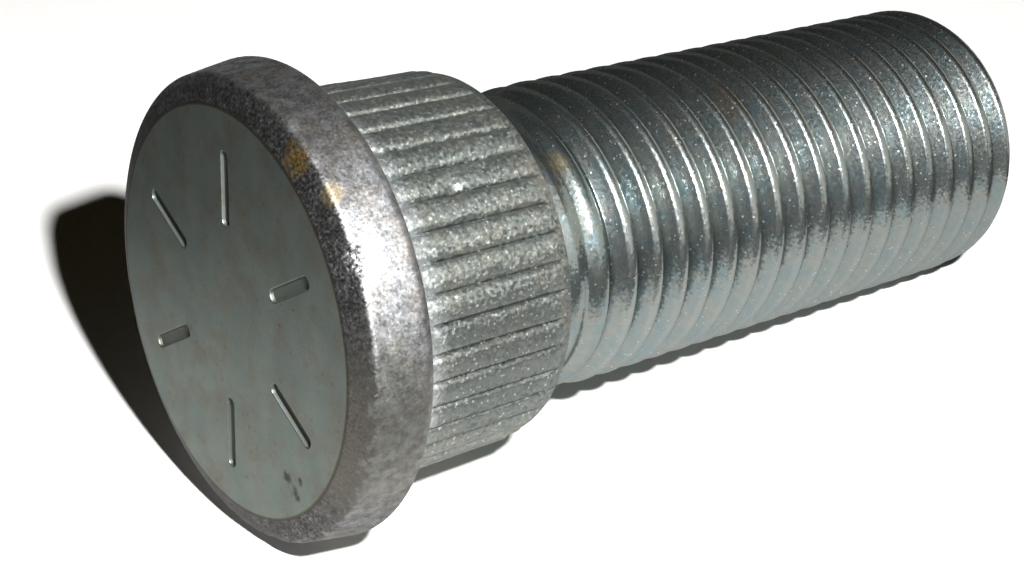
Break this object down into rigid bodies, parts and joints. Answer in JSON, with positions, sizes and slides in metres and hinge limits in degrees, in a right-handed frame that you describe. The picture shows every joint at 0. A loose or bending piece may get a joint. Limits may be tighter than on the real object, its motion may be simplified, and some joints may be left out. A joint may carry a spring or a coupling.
{
  "type": "wheel stud",
  "caption": "Press-in wheel stud: a low round head, a collar with straight serrations and a long threaded shank that carries a wheel nut.",
  "frame": {"origin": "centre of the head's outer face, on the stud's axis", "axes": "+Z along the stud's axis from the head to the thread's tip; the stud stands on its head"},
  "size_m": [0.0202, 0.0202, 0.0421],
  "materials": {
    "zinc_plated_steel": "zinc plate, dull on the head's face and bright on the thread"
  },
  "bodies": {
    "root": {"wheel_stud": "zinc_plated_steel"}
  },
  "joints": []
}
